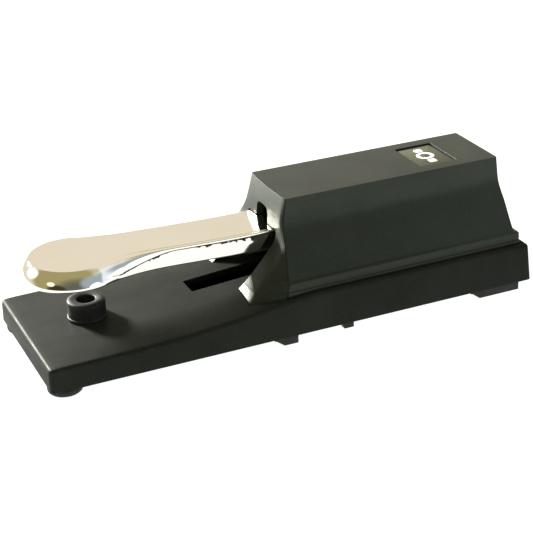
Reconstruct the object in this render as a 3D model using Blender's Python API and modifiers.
"""Sustain pedal: a chromed lever on a hinge in a moulded base, with a return spring and a switch.

Metres, +Z up, the object stands on z = 0 and its box is centred on the origin in plan.
+Y runs from the lever's tip (front) to the cable gland (rear); the object is symmetric in X.
"""
import math

import bmesh
import bpy
from mathutils import Matrix, Vector

MM = 0.001
GAP = 0.3 * MM            # clearance between neighbouring solids

# Base
LENGTH = 270 * MM
WIDTH = 94.2 * MM
SKIRT_Z = 4 * MM          # underside of the skirt, above the floor on its feet
DECK_FRONT_Z = 16.5 * MM  # deck height near the front edge
DECK_SLOPE = 0.0669       # rise of the deck per unit length
LEDGE_Z = 25.1 * MM       # flat part of the deck under and round the cover
DECK_EDGE_X = 45.6 * MM   # where the deck turns over into the side
DECK_SAG = 3.1 * MM       # how far the deck's side edges dip below its middle
SAG_Y = -60 * MM          # where they dip most
SAG_REACH = 70 * MM
BASE_WALL = 2.8 * MM
DECK_WALL = 3.0 * MM
SLOT_HALF = 6.6 * MM
SLOT_FRONT_Y = -45 * MM
SLOT_REAR_Y = 4 * MM
PLATE_LOW_Z = SKIRT_Z + 0.6 * MM
PLATE_THICK = 1.6 * MM
FOOT_X, FOOT_Y = 38 * MM, -125.6 * MM
FOOT_RADIUS = 9 * MM
FOOT_TOP_Z = SKIRT_Z - GAP

# Cover
COVER_WALL = 2.8 * MM
CEILING = 3.4 * MM
PASSAGE_HALF = 18.85 * MM
PASSAGE_TOP_Z = 51.7 * MM
NOTCH_HALF = 7.1 * MM
NOTCH_TOP_Z = 60 * MM
BADGE_Y = 96.3 * MM
BADGE_SIZE = (30 * MM, 22 * MM)
BADGE_FLOOR_Z = 66.8 * MM
GLAND_HOLE = 5.3 * MM

# Cover outline at rising heights: z, half width, crease y, toe x, toe y, rear y
COVER_LEVELS = [(z * MM, half * MM, crease * MM, toe_x * MM, toe_y * MM, rear * MM)
                for z, half, crease, toe_x, toe_y, rear in (
                    (21.0, 42.3, -6.8, 36.3, -26.6, 131.2),
                    (29.6, 41.6, -5.2, 34.5, -17.2, 131.0),
                    (31.0, 40.2, -4.7, 34.0, -15.7, 128.7),
                    (34.2, 38.0, -3.9, 33.0, -12.3, 128.5),
                    (40.2, 34.2, -2.6, 31.4, -6.1, 128.4),
                    (45.8, 30.6, -1.35, 28.6, -2.2, 128.4),
                    (50.3, 27.2, -0.4, 25.2, -1.2, 128.3),
                    (55.0, 24.4, 0.45, 22.4, -0.7, 128.2),
                    (60.6, 23.1, 1.6, 21.1, 0.4, 128.2),
                    (67.4, 22.4, 3.0, 20.4, 2.4, 128.1),
                    (69.4, 20.6, 4.6, 18.6, 4.2, 126.5))]
LEVEL_UP_TO_Z = 60.6 * MM  # above this the outline leans with the sloping top
TOP_FALL = 1.1 * MM        # how far the top falls from its front edge to its rear edge
COVER_CORNER = 1.2 * MM    # plan rounding of the cover's rear corners

# Lever and its pivot
PIVOT = Vector((0, 48 * MM, 44.5 * MM))
TIP_Y = -132 * MM
TIP_RADIUS = 27 * MM
TAIL_Y = 100 * MM
WAIST_START_Y = TIP_Y + TIP_RADIUS + 8 * MM  # where the round tip runs into the waist
WAIST_LENGTH = 46 * MM
SHANK_HALF = 15.4 * MM
TIP_THICK = 9.6 * MM
TIP_LIFT = 2.3 * MM       # how far the top curves up towards the tip
LEVER_LOW_Z = 39 * MM     # lower edge of the lever's flanges inside the cover
LEVER_TOP_Z = 51.1 * MM   # at y = 0
LEVER_RISE = 0.0116       # rise of the top towards the tip
WEB_UNDER_Z = 48.2 * MM   # underside of the lever's web inside its channel
CHANNEL_HALF = 12 * MM
AXLE_RADIUS = 2.5 * MM

# Mechanism
POST_Y = -100.5 * MM
POST_TOP_Z = 28.7 * MM
SPRING_Y = 16 * MM
SWITCH_Y = 35 * MM
PAD_Y = 91 * MM
PAD_HALF_X, PAD_HALF_Y = 16 * MM, 5 * MM
REST_BLOCK_Z = LEDGE_Z + 9.3 * MM
GLAND_Z = 42 * MM
CLAMP_Y = 114 * MM
CLAMP_HALF_X = 12.5 * MM
CLAMP_SCREWS_X = 9 * MM
COVER_SCREWS = [(side * 27 * MM, y * MM) for side in (-1, 1) for y in (16, 112)]
PLATE_SCREWS = [(side * 36 * MM, y * MM) for side in (-1, 1) for y in (-92, 72)]
BRACKET_HALF_Y = 6.5 * MM
BRACKET_HALF_X = 18.5 * MM
BRACKET_SCREWS_X = 13.5 * MM
BOARD_SCREWS_X = 14 * MM
BOARD_STEP = 4 * MM       # height of the board's posts over the deck
SEGMENTS = 20             # sides of a round piece
SCREW_SEGMENTS = 12       # sides of a small screw

for leftover in list(bpy.data.objects):
    bpy.data.objects.remove(leftover, do_unlink=True)

PARTS = bpy.data.collections.new("sustain_pedal")
CUTTERS = bpy.data.collections.new("cutters")
for group in (PARTS, CUTTERS):
    bpy.context.scene.collection.children.link(group)


# ---------------------------------------------------------------- materials
def material(name, colour, roughness, metallic=0.0):
    made = bpy.data.materials.new(name)
    made.use_nodes = True
    shader = made.node_tree.nodes["Principled BSDF"]
    shader.inputs["Base Color"].default_value = (*colour, 1)
    shader.inputs["Roughness"].default_value = roughness
    shader.inputs["Metallic"].default_value = metallic
    return made


BLACK_PLASTIC = material("moulded_plastic", (0.035, 0.036, 0.031), 0.5)
CHROME = material("chrome", (0.86, 0.83, 0.76), 0.08, 1.0)
RUBBER = material("rubber", (0.018, 0.018, 0.017), 0.75)
STEEL = material("zinc_steel", (0.62, 0.62, 0.6), 0.32, 1.0)
NYLON = material("white_nylon", (0.8, 0.79, 0.74), 0.45)
FELT = material("grey_felt", (0.2, 0.2, 0.2), 0.95)
BOARD = material("board_laminate", (0.05, 0.2, 0.08), 0.4)
SWITCH = material("switch_plastic", (0.06, 0.06, 0.07), 0.4)
BADGE = material("badge_plastic", (0.03, 0.03, 0.03), 0.3)


# ---------------------------------------------------------------- helpers
def add_object(name, data, look, location=(0, 0, 0), rotation=(0, 0, 0), parent=None):
    """Puts mesh or curve data in the scene; a piece with no look is a cutter."""
    made = bpy.data.objects.new(name, data)
    (PARTS if look else CUTTERS).objects.link(made)
    made.location = location
    made.rotation_euler = rotation
    if look:
        data.materials.append(look)
    else:
        made.hide_render = True
        made.display_type = "WIRE"
    if parent:
        made.parent = parent
        made.location = Vector(location) - parent.location
    return made


def mesh_from(name, shape):
    bmesh.ops.recalc_face_normals(shape, faces=shape.faces)
    data = bpy.data.meshes.new(name)
    shape.to_mesh(data)
    shape.free()
    return data


def box(name, low, high, look=None, **place):
    """Box between two corners, with its object's origin at its middle."""
    low, high = Vector(low), Vector(high)
    shape = bmesh.new()
    bmesh.ops.create_cube(shape, size=1, matrix=Matrix.Diagonal((*(high - low), 1)))
    return add_object(name, mesh_from(name, shape), look, (low + high) / 2, **place)


def rod(name, radius, start, end, look=None, **place):
    """Cylinder between two points."""
    start, end = Vector(start), Vector(end)
    shape = bmesh.new()
    bmesh.ops.create_cone(shape, cap_ends=True, segments=SEGMENTS, radius1=radius, radius2=radius,
                          depth=(end - start).length)
    made = add_object(name, mesh_from(name, shape), look, (start + end) / 2, **place)
    made.rotation_euler = (end - start).to_track_quat("Z", "Y").to_euler()
    return made


def turned(name, profile, look=None, closed=False, steps=SEGMENTS, **place):
    """Turned piece; the profile runs down its outer side, and is closed where it has a bore."""
    count = len(profile)
    edges = [(i, i + 1) for i in range(count - 1)]
    if closed:
        edges.append((count - 1, 0))
    data = bpy.data.meshes.new(name)
    data.from_pydata([(radius, 0, height) for radius, height in profile], edges, [])
    made = add_object(name, data, look, **place)
    screw = made.modifiers.new("turn", "SCREW")
    screw.steps = screw.render_steps = steps
    screw.use_merge_vertices = True
    screw.merge_threshold = 0.00001
    screw.use_smooth_shade = False
    return made


def combine(target, operation, *others):
    for other in others:
        boolean = target.modifiers.new(operation.lower(), "BOOLEAN")
        boolean.operation = operation
        boolean.solver = "EXACT"
        boolean.object = other


def cut(target, *cutters):
    combine(target, "DIFFERENCE", *cutters)


def fuse(target, *others):
    combine(target, "UNION", *others)


def loft(name, rings, look=None, **place):
    """Closed solid through rings that have the same number of points."""
    shape = bmesh.new()
    rows = [[shape.verts.new(point) for point in ring] for ring in rings]
    count = len(rows[0])
    for lower, upper in zip(rows, rows[1:]):
        for i in range(count):
            j = (i + 1) % count
            shape.faces.new((lower[i], lower[j], upper[j], upper[i]))
    bmesh.ops.triangulate(shape, faces=shape.faces)
    shape.faces.new(rows[0][::-1])
    shape.faces.new(rows[-1])
    return add_object(name, mesh_from(name, shape), look, **place)


def extrude_outline(name, outline, low, high, axis, look=None, **place):
    """Solid from a flat outline; the outline's pairs are the other two axes, in X, Y, Z order."""
    def point(pair, depth):
        values = list(pair)
        values.insert(axis, depth)
        return values
    return loft(name, [[point(pair, depth) for pair in outline] for depth in (low, high)], look, **place)


def screw_part(name, x, y, head_z, up, head_radius, shank_radius, length):
    """Pan-head screw with a socket; its head's underside is at head_z and its tip points up or down."""
    head = 1.6 * MM
    profile = [(0, head - 0.8 * MM), (0.35 * head_radius, head), (0.75 * head_radius, head),
               (head_radius, 0.6 * head), (head_radius, 0), (shank_radius, 0),
               (shank_radius, 0.8 * MM - length), (0, -length)]
    turn = (math.pi, 0, 0) if up else (0, 0, 0)
    return turned(name, profile, STEEL, steps=SCREW_SEGMENTS, location=(x, y, head_z), rotation=turn)


# ---------------------------------------------------------------- base
def deck_height(x, y):
    """Deck surface: a gentle ramp up to a flat ledge, dipping a little towards its side edges."""
    middle = min(DECK_FRONT_Z + DECK_SLOPE * (y + LENGTH / 2 - 4 * MM), LEDGE_Z)
    along = max(-1, min(1, (y - SAG_Y) / SAG_REACH))
    across = max(0, min(abs(x), DECK_EDGE_X) - 15 * MM) / (DECK_EDGE_X - 15 * MM)
    return middle - DECK_SAG * math.cos(along * math.pi / 2) * across ** 2


def deck_ring(y, half, lift, floor_z, round_off):
    """Cross-section of the base at y; round_off lowers and narrows its upper corners."""
    xs = [0, 15 * MM, 25 * MM, 33 * MM, 40 * MM, half - 1.5 * MM]
    right = [(x, deck_height(x, y) + lift - round_off) for x in xs]
    edge_z = right[-1][1]
    right[-1] = (half - 1.5 * MM - round_off, edge_z)
    right.append((half - 0.4 * MM - round_off, edge_z - 0.5 * MM))
    right.append((half - round_off, edge_z - 1.6 * MM))
    right.append((half - round_off, floor_z))
    left = [(-x, z) for x, z in right[:0:-1]]
    return [(x, y, z) for x, z in left + right]


def deck_solid(name, inset, lift, floor_z, look=None):
    half, end = WIDTH / 2 - inset, LENGTH / 2 - inset
    inner = [y * MM for y in (-122, -108, -94, -80, -66, -52, -38, -24, -12, -2.4, 10, 60)]
    stations = [(-end, 1.4 * MM), (-end + 0.5 * MM, 0.4 * MM), (-end + 1.6 * MM, 0)]
    stations += [(y, 0) for y in inner]
    stations += [(end - 1.6 * MM, 0), (end - 0.5 * MM, 0.4 * MM), (end, 1.4 * MM)]
    return loft(name, [deck_ring(y, half, lift, floor_z, off) for y, off in stations], look)


def deck_clearance(name):
    """Cutter that fills the space under the deck's surface and a gap above it."""
    xs = [x * MM for x in (-60, -45.6, -40, -33, -25, -15, 15, 25, 33, 40, 45.6, 60)]
    rings = []
    for y in (-125, -108, -94, -80, -66, -52, -38, -24, -12, -2.4, 10, 60, 150):
        top = [(x, y * MM, deck_height(x, y * MM) + GAP) for x in xs]
        rings.append([(xs[0], y * MM, 0)] + top + [(xs[-1], y * MM, 0)])
    return loft(name, rings)


def make_base():
    base = deck_solid("base_shell", 0, 0, SKIRT_Z, BLACK_PLASTIC)
    cut(base, deck_solid("base_hollow", BASE_WALL, -DECK_WALL, SKIRT_Z - 2 * MM))
    under = PLATE_LOW_Z + PLATE_THICK + GAP
    for number, (x, y) in enumerate(PLATE_SCREWS):
        fuse(base, rod(f"plate_boss_{number}", 4 * MM, (x, y, under), (x, y, deck_height(x, y) - MM)))
        cut(base, rod(f"plate_pilot_{number}", 1.7 * MM, (x, y, 0), (x, y, under + 7 * MM)))
    post_z = deck_height(0, POST_Y)
    fuse(base, rod("post_boss", 5 * MM, (0, POST_Y, under), (0, POST_Y, post_z - MM)))
    cut(base, rod("post_pilot", 2.1 * MM, (0, POST_Y, under + MM), (0, POST_Y, 30 * MM)))
    for number, (x, y) in enumerate(COVER_SCREWS):
        cut(base, rod(f"cover_hole_{number}", 1.9 * MM, (x, y, 12 * MM), (x, y, 30 * MM)))
    for side in (-1, 1):
        add_standoffs(base, side)
    fuse(base, box("rest_block", (-PAD_HALF_X, PAD_Y - PAD_HALF_Y, LEDGE_Z - MM),
                   (PAD_HALF_X, PAD_Y + PAD_HALF_Y, REST_BLOCK_Z)))
    slot_low, slot_high = (-SLOT_HALF, SLOT_FRONT_Y, 0), (SLOT_HALF, SLOT_REAR_Y, 40 * MM)
    cut(base, box("deck_slot", slot_low, slot_high))
    return base


def add_standoffs(base, side):
    """Bosses for the bracket, the board and the cable clamp on one side."""
    top, under = LEDGE_Z, LEDGE_Z - 9 * MM
    bracket_x, board_x = side * BRACKET_SCREWS_X, side * BOARD_SCREWS_X
    label = "left" if side < 0 else "right"
    for name, x, y in (("bracket", bracket_x, PIVOT.y), ("clamp", side * CLAMP_SCREWS_X, CLAMP_Y)):
        fuse(base, rod(f"{name}_boss_{label}", 3.4 * MM, (x, y, under), (x, y, top - MM)))
        cut(base, rod(f"{name}_pilot_{label}", 1.7 * MM, (x, y, under + MM), (x, y, top + 5 * MM)))
    fuse(base, rod(f"board_post_{label}", 3 * MM, (board_x, SWITCH_Y, top - MM),
                   (board_x, SWITCH_Y, top + BOARD_STEP)))
    cut(base, rod(f"board_pilot_{label}", 1.4 * MM, (board_x, SWITCH_Y, top - 2 * MM),
                  (board_x, SWITCH_Y, top + 2 * BOARD_STEP)))


def make_bottom_plate():
    inset = BASE_WALL + 0.5 * MM
    low = (inset - WIDTH / 2, inset - LENGTH / 2, PLATE_LOW_Z)
    high = (WIDTH / 2 - inset, LENGTH / 2 - inset, PLATE_LOW_Z + PLATE_THICK)
    plate = box("bottom_plate", low, high, STEEL)
    for number, (x, y) in enumerate(PLATE_SCREWS):
        cut(plate, rod(f"plate_hole_{number}", 1.8 * MM, (x, y, 0), (x, y, 10 * MM)))
        screw_part(f"bottom_screw_{number + 1}", x, y, PLATE_LOW_Z - GAP, True, 3 * MM, 1.3 * MM, 8 * MM)
    for side in (-1, 1):
        name = f"foot_hole_{'left' if side < 0 else 'right'}"
        cut(plate, rod(name, 3 * MM, (side * FOOT_X, FOOT_Y, 0), (side * FOOT_X, FOOT_Y, 10 * MM)))


# ---------------------------------------------------------------- feet and stop post
def make_feet(side):
    label = "left" if side < 0 else "right"
    outer = side * (WIDTH / 2)
    profile = [(0, 7.5 * MM), (2.6 * MM, 7.5 * MM), (2.6 * MM, FOOT_TOP_Z), (FOOT_RADIUS, FOOT_TOP_Z),
               (FOOT_RADIUS, 1.2 * MM), (FOOT_RADIUS - MM, 0), (0, 0)]
    turned(f"front_foot_{label}", profile, RUBBER, location=(side * FOOT_X, FOOT_Y, 0))
    pads = (("mid_foot", -16.5 * MM, -11.2 * MM, -3.4 * MM, 11 * MM, 0),
            ("foot_nub", 22 * MM, 23 * MM, 28.5 * MM, 8 * MM, 2 * MM),
            ("rear_foot", 98.3 * MM, 103.5 * MM, 127.5 * MM, 14 * MM, 0))
    for name, slant_y, front_y, rear_y, across, low_z in pads:
        start = outer - side * (3 * MM if name == "foot_nub" else 0)
        outline = [(slant_y, FOOT_TOP_Z), (rear_y, FOOT_TOP_Z), (rear_y, low_z), (front_y, low_z)]
        xs = sorted((start, start - side * across))
        extrude_outline(f"{name}_{label}", outline, xs[0], xs[1], 0, RUBBER)


def make_stop_post(clearance):
    deck = deck_height(0, POST_Y)
    seat = deck + 3.6 * MM
    top = POST_TOP_Z
    profile = [(8 * MM, top), (9.6 * MM, top - 0.8 * MM), (10.1 * MM, top - 2.5 * MM),
               (9.9 * MM, deck + 4 * MM), (10.6 * MM, deck + MM), (10.6 * MM, deck - 3 * MM),
               (2.1 * MM, deck - 3 * MM), (2.1 * MM, seat), (5 * MM, seat), (5 * MM, top - 1.2 * MM),
               (6.2 * MM, top)]
    post = turned("stop_post", profile, RUBBER, closed=True, location=(0, POST_Y, 0))
    cut(post, clearance)
    screw_part("stop_screw", 0, POST_Y, seat + GAP, False, 4.2 * MM, 1.7 * MM, 10 * MM)


# ---------------------------------------------------------------- cover
def cover_ring(level, inset=0.0, toes=True):
    """Outline of the cover at one level, whose upper levels lean towards the rear."""
    z, half, crease, toe_x, toe_y, rear = level
    half, crease, rear = half - inset, crease + inset, rear - inset
    corner = COVER_CORNER
    right = [(half, crease), (half, rear - corner), (half - 0.3 * corner, rear - 0.3 * corner),
             (half - corner, rear)]
    if toes:
        right.insert(0, (toe_x, toe_y))
    left = [(-x, y) for x, y in reversed(right)]
    top, length = COVER_LEVELS[-1][0], COVER_LEVELS[-1][5]
    lean = TOP_FALL * max(0, z - LEVEL_UP_TO_Z) / (top - LEVEL_UP_TO_Z) / length
    return [(x, y, z - lean * y) for x, y in right + left]


def make_cover(clearance):
    cover = loft("housing_cover", [cover_ring(level) for level in COVER_LEVELS], BLACK_PLASTIC)
    cut(cover, clearance)
    floor_level = (14 * MM, *COVER_LEVELS[0][1:])
    ceiling_level = (COVER_LEVELS[-1][0] - CEILING, *COVER_LEVELS[-2][1:])
    hollow = [floor_level, *COVER_LEVELS[1:-2], ceiling_level]
    cut(cover, loft("cover_hollow", [cover_ring(level, COVER_WALL, False) for level in hollow]))
    cut(cover, box("passage", (-PASSAGE_HALF, -60 * MM, 0), (PASSAGE_HALF, 5 * MM, PASSAGE_TOP_Z)))
    arch_z = NOTCH_TOP_Z - NOTCH_HALF / 2
    notch = [(-NOTCH_HALF, 40 * MM), (NOTCH_HALF, 40 * MM), (NOTCH_HALF, arch_z),
             (0.6 * NOTCH_HALF, NOTCH_TOP_Z), (-0.6 * NOTCH_HALF, NOTCH_TOP_Z), (-NOTCH_HALF, arch_z)]
    cut(cover, extrude_outline("notch", notch, -10 * MM, 7 * MM, 1))
    wide, long = BADGE_SIZE
    cut(cover, box("badge_recess", (-wide / 2, BADGE_Y - long / 2, BADGE_FLOOR_Z),
                   (wide / 2, BADGE_Y + long / 2, BADGE_FLOOR_Z + 10 * MM)))
    under = LEDGE_Z + GAP
    for number, (x, y) in enumerate(COVER_SCREWS):
        fuse(cover, rod(f"cover_boss_{number}", 4 * MM, (x, y, under), (x, y, 42.5 * MM)))
        cut(cover, rod(f"cover_pilot_{number}", 1.8 * MM, (x, y, 20 * MM), (x, y, 38 * MM)))
        screw_part(f"cover_screw_{number + 1}", x, y, LEDGE_Z - DECK_WALL - GAP, True, 3.2 * MM,
                   1.4 * MM, 13 * MM)
    cut(cover, rod("gland_hole", GLAND_HOLE, (0, 115 * MM, GLAND_Z), (0, 140 * MM, GLAND_Z)))
    return cover


def make_badge():
    """Blank plate that lies in the recess in the cover's top."""
    wide, long = BADGE_SIZE[0] - 2.6 * MM, BADGE_SIZE[1] - 2.4 * MM
    low = (-wide / 2, BADGE_Y - long / 2, BADGE_FLOOR_Z + GAP)
    high = (wide / 2, BADGE_Y + long / 2, BADGE_FLOOR_Z + GAP + 0.8 * MM)
    box("badge_plate", low, high, BADGE)


# ---------------------------------------------------------------- lever and pivot
def lever_half_width(y):
    """Half width of the lever: a round tip that runs through a waist into a straight shank."""
    reach = min(y, WAIST_START_Y) - (TIP_Y + TIP_RADIUS)
    round_half = math.sqrt(max(TIP_RADIUS ** 2 - reach ** 2, 0))
    if y <= WAIST_START_Y:
        return round_half
    along = min((y - WAIST_START_Y) / WAIST_LENGTH, 1)
    return SHANK_HALF + (round_half - SHANK_HALF) * (1 - along) ** 2.6


def lever_stations():
    tip = [TIP_Y + TIP_RADIUS * (1 - math.cos(math.radians(angle))) for angle in range(15, 105, 15)]
    return tip + [y * MM for y in (-97, -90, -83, -76, -68, -60, -50, -30, -10, 15, 30)] + [TAIL_Y]


def lever_top_z(y):
    """Top of the lever: straight along the shank, curving up to the tip."""
    along = max(0, min(1, (-12 * MM - y) / (93 * MM)))
    return LEVER_TOP_Z - LEVER_RISE * y + TIP_LIFT * along ** 2 * (3 - 2 * along)


def lever_under_z(y):
    """Lower edge of the lever: thin at its tip, deeper towards the pivot."""
    flange_z = LEVER_LOW_Z + 0.049 * max(0, 15 * MM - y)
    along = max(0, min(1, (y + 100 * MM) / (15 * MM)))
    return (lever_top_z(y) - TIP_THICK) * (1 - along) + flange_z * along


def lever_ring(inset, drop, rise):
    """Points along one side, inset from the outline, and below the top or above the underside.

    All three are shares of the edge's radius, which is larger at the tip than along the shank.
    """
    right = []
    for y in lever_stations():
        edge = (4.2 if y < -90 * MM else 1.3) * MM
        x, place_y = lever_half_width(y) - inset * edge, y
        if y < TIP_Y + TIP_RADIUS:
            scale = 1 - inset * edge / TIP_RADIUS
            x = lever_half_width(y) * scale
            place_y = TIP_Y + TIP_RADIUS - (TIP_Y + TIP_RADIUS - y) * scale
        z = lever_under_z(y) + rise * edge if drop is None else lever_top_z(y) - drop * edge
        right.append((x, place_y, z))
    return right


def make_lever(hinge):
    """Rings from the underside up to the top; caps run across between the two sides."""
    levels = [(1, None, 0), (0.3, None, 0.3), (0, None, 1), (0, 1, None), (0.3, 0.3, None), (1, 0, None)]
    shape = bmesh.new()
    rows = []
    for inset, drop, rise in levels:
        right = lever_ring(inset, drop, rise)
        ring = right + [(-x, y, z) for x, y, z in reversed(right)]
        rows.append([shape.verts.new(point) for point in ring])
    count = len(rows[0])
    for lower, upper in zip(rows, rows[1:]):
        for i in range(count):
            j = (i + 1) % count
            shape.faces.new((lower[i], lower[j], upper[j], upper[i]))
    for row in (rows[0], rows[-1]):
        for i in range(count // 2 - 1):
            shape.faces.new((row[i], row[i + 1], row[count - 2 - i], row[count - 1 - i]))
    bmesh.ops.triangulate(shape, faces=shape.faces)
    for vertex in shape.verts:
        vertex.co -= PIVOT
    lever = add_object("pedal_lever", mesh_from("pedal_lever", shape), CHROME, PIVOT, parent=hinge)
    cut(lever, box("lever_channel", (-CHANNEL_HALF, -82 * MM, 20 * MM),
                   (CHANNEL_HALF, TAIL_Y + 10 * MM, WEB_UNDER_Z)))
    reach = Vector((30 * MM, 0, 0))
    cut(lever, rod("axle_hole", AXLE_RADIUS + GAP, PIVOT - reach, PIVOT + reach))


def half_round(centre, radius, step):
    """Points of a half circle over a centre, from its right to its left."""
    angles = [math.radians(degrees) for degrees in range(0, 181, step)]
    return [(centre[0] + radius * math.cos(a), centre[1] + radius * math.sin(a)) for a in angles]


def make_pivot(hinge):
    end = Vector((22.3 * MM, 0, 0))
    rod("pivot_axle", AXLE_RADIUS, PIVOT - end, PIVOT + end, STEEL, parent=hinge)
    low, high = LEDGE_Z + GAP, LEDGE_Z + 2 * MM + GAP
    bracket = box("pivot_bracket", (-BRACKET_HALF_X, PIVOT.y - BRACKET_HALF_Y, low),
                  (BRACKET_HALF_X, PIVOT.y + BRACKET_HALF_Y, high), STEEL)
    for side in (-1, 1):
        label = "left" if side < 0 else "right"
        inner, outer = side * (BRACKET_HALF_X - 2 * MM), side * BRACKET_HALF_X
        foot = [(PIVOT.y - BRACKET_HALF_Y, low + MM), (PIVOT.y + BRACKET_HALF_Y, low + MM)]
        outline = foot + half_round((PIVOT.y, PIVOT.z), BRACKET_HALF_Y, 20)
        fuse(bracket, extrude_outline(f"ear_{label}", outline, min(inner, outer), max(inner, outer), 0))
        cut(bracket, rod(f"bush_hole_{label}", 4.3 * MM, PIVOT + Vector((side * 10 * MM, 0, 0)),
                         PIVOT + Vector((side * 30 * MM, 0, 0))))
        bore = AXLE_RADIUS + 0.25 * MM
        step = 2 * MM + GAP
        flange = -1.5 * MM
        profile = [(4 * MM, step), (4 * MM, 0), (6 * MM, 0), (6 * MM, flange), (bore, flange), (bore, step)]
        turned(f"axle_bush_{label}", profile, NYLON, closed=True,
               location=PIVOT + Vector((side * (BRACKET_HALF_X + GAP), 0, 0)),
               rotation=(0, -side * math.pi / 2, 0))
        half = 0.4 * MM
        clip = [(4.3 * MM, half), (4.3 * MM, -half), (2.8 * MM, -half), (2.8 * MM, half)]
        turned(f"retaining_clip_{label}", clip, STEEL, closed=True, parent=hinge,
               location=PIVOT + Vector((side * 21.1 * MM, 0, 0)), rotation=(0, math.pi / 2, 0))
        x = side * BRACKET_SCREWS_X
        cut(bracket, rod(f"bracket_hole_{label}", 1.8 * MM, (x, PIVOT.y, 20 * MM), (x, PIVOT.y, 30 * MM)))
        screw_part(f"bracket_screw_{label}", x, PIVOT.y, high + GAP, False, 2.8 * MM, 1.4 * MM, 9 * MM)


# ---------------------------------------------------------------- spring, rest pad and switch
def make_spring():
    seat_z = LEDGE_Z + GAP
    profile = [(0, 6.6 * MM), (3.2 * MM, 6.6 * MM), (4 * MM, 5.8 * MM), (4 * MM, 2 * MM),
               (8.5 * MM, 2 * MM), (8.5 * MM, 0), (0, 0)]
    turned("spring_seat", profile, NYLON, location=(0, SPRING_Y, seat_z))
    wire, radius, turns, steps = 0.8 * MM, 5.7 * MM, 6, 14
    low = seat_z + 2 * MM + GAP + wire
    high = WEB_UNDER_Z - GAP - wire
    curve = bpy.data.curves.new("return_spring", "CURVE")
    curve.dimensions = "3D"
    curve.bevel_depth = wire
    curve.bevel_resolution = 2
    curve.use_fill_caps = True
    spline = curve.splines.new("POLY")
    spline.points.add(turns * steps)
    for i, point in enumerate(spline.points):
        angle = 2 * math.pi * i / steps
        along = i / (turns * steps)
        point.co = (radius * math.cos(angle), radius * math.sin(angle), low + (high - low) * along, 1)
    add_object("return_spring", curve, STEEL, (0, SPRING_Y, 0))


def make_rest_pad():
    """Felt pad that carries the lever's tail at rest."""
    low, high = REST_BLOCK_Z + GAP, LEVER_LOW_Z - GAP
    box("rest_pad", (-PAD_HALF_X, PAD_Y - PAD_HALF_Y, low),
        (PAD_HALF_X, PAD_Y + PAD_HALF_Y, high), FELT)


def make_switch(slide):
    low = LEDGE_Z + BOARD_STEP + GAP
    top = low + 1.6 * MM
    board = box("circuit_board", (-17.5 * MM, SWITCH_Y - 6 * MM, low),
                (17.5 * MM, SWITCH_Y + 6 * MM, top), BOARD)
    body_top = 44 * MM
    body = box("switch_body", (-6.4 * MM, SWITCH_Y - 5 * MM, top + GAP),
               (6.4 * MM, SWITCH_Y + 5 * MM, body_top), SWITCH)
    well = body_top - 7 * MM
    cut(body, rod("plunger_well", 2 * MM, (0, SWITCH_Y, well), (0, SWITCH_Y, body_top + MM)))
    plunger_top = WEB_UNDER_Z - GAP
    profile = [(0, plunger_top), (0.9 * MM, plunger_top - 0.2 * MM), (1.6 * MM, plunger_top - MM),
               (1.6 * MM, well + 2 * MM), (0, well + 2 * MM)]
    turned("switch_plunger", [(radius, z - PIVOT.z) for radius, z in profile], NYLON,
           location=(0, SWITCH_Y, PIVOT.z), parent=slide)
    for side in (-1, 1):
        label = "left" if side < 0 else "right"
        x = side * BOARD_SCREWS_X
        cut(board, rod(f"board_hole_{label}", 1.5 * MM, (x, SWITCH_Y, 20 * MM), (x, SWITCH_Y, 40 * MM)))
        screw_part(f"board_screw_{label}", x, SWITCH_Y, top + GAP, False, 2.4 * MM, 1.1 * MM, 6 * MM)


def make_cable_fittings():
    bore = 3.3 * MM
    rear_walls = [level[5] for level in COVER_LEVELS[3:6]]
    wall_out, wall_in = max(rear_walls) + GAP, min(rear_walls) - COVER_WALL - GAP
    flange = 7.2 * MM
    end, nut, neck = wall_out + 2.6 * MM, 6.6 * MM, GLAND_HOLE - GAP
    profile = [(flange - MM, end), (flange, end - 0.8 * MM), (flange, wall_out),
               (neck, wall_out), (neck, wall_in), (nut, wall_in), (nut, wall_in - 2 * MM),
               (bore, wall_in - 2 * MM), (bore, end)]
    turned("cable_gland", profile, RUBBER, closed=True, location=(0, 0, GLAND_Z),
           rotation=(-math.pi / 2, 0, 0))
    low = LEDGE_Z + GAP
    centre = (0, low + 2 * MM)
    arch = half_round(centre, bore - GAP, 30)[::-1]
    wing = CLAMP_HALF_X
    inner = [(-wing, low), (GAP - bore, low)] + arch + [(bore - GAP, low), (wing, low)]
    outer = [(wing, low + 2 * MM)] + half_round(centre, 5 * MM, 30) + [(-wing, low + 2 * MM)]
    clamp = extrude_outline("cable_clamp", inner + outer, CLAMP_Y - 3.5 * MM, CLAMP_Y + 3.5 * MM, 1, NYLON)
    for side in (-1, 1):
        label = "left" if side < 0 else "right"
        x = side * CLAMP_SCREWS_X
        cut(clamp, rod(f"clamp_hole_{label}", 1.7 * MM, (x, CLAMP_Y, 20 * MM), (x, CLAMP_Y, 40 * MM)))
        screw_part(f"clamp_screw_{label}", x, CLAMP_Y, low + 2 * MM + GAP, False, 2.6 * MM, 1.4 * MM, 8 * MM)


def make_empty(name, location):
    empty = bpy.data.objects.new(name, None)
    PARTS.objects.link(empty)
    empty.location = location
    return empty


def main():
    hinge = make_empty("lever_hinge", PIVOT)
    slide = make_empty("plunger_slide", (0, SWITCH_Y, PIVOT.z))
    clearance = deck_clearance("deck_clearance")
    make_base()
    make_bottom_plate()
    for side in (-1, 1):
        make_feet(side)
    make_stop_post(clearance)
    make_cover(clearance)
    make_badge()
    make_lever(hinge)
    make_pivot(hinge)
    make_spring()
    make_rest_pad()
    make_switch(slide)
    make_cable_fittings()


main()
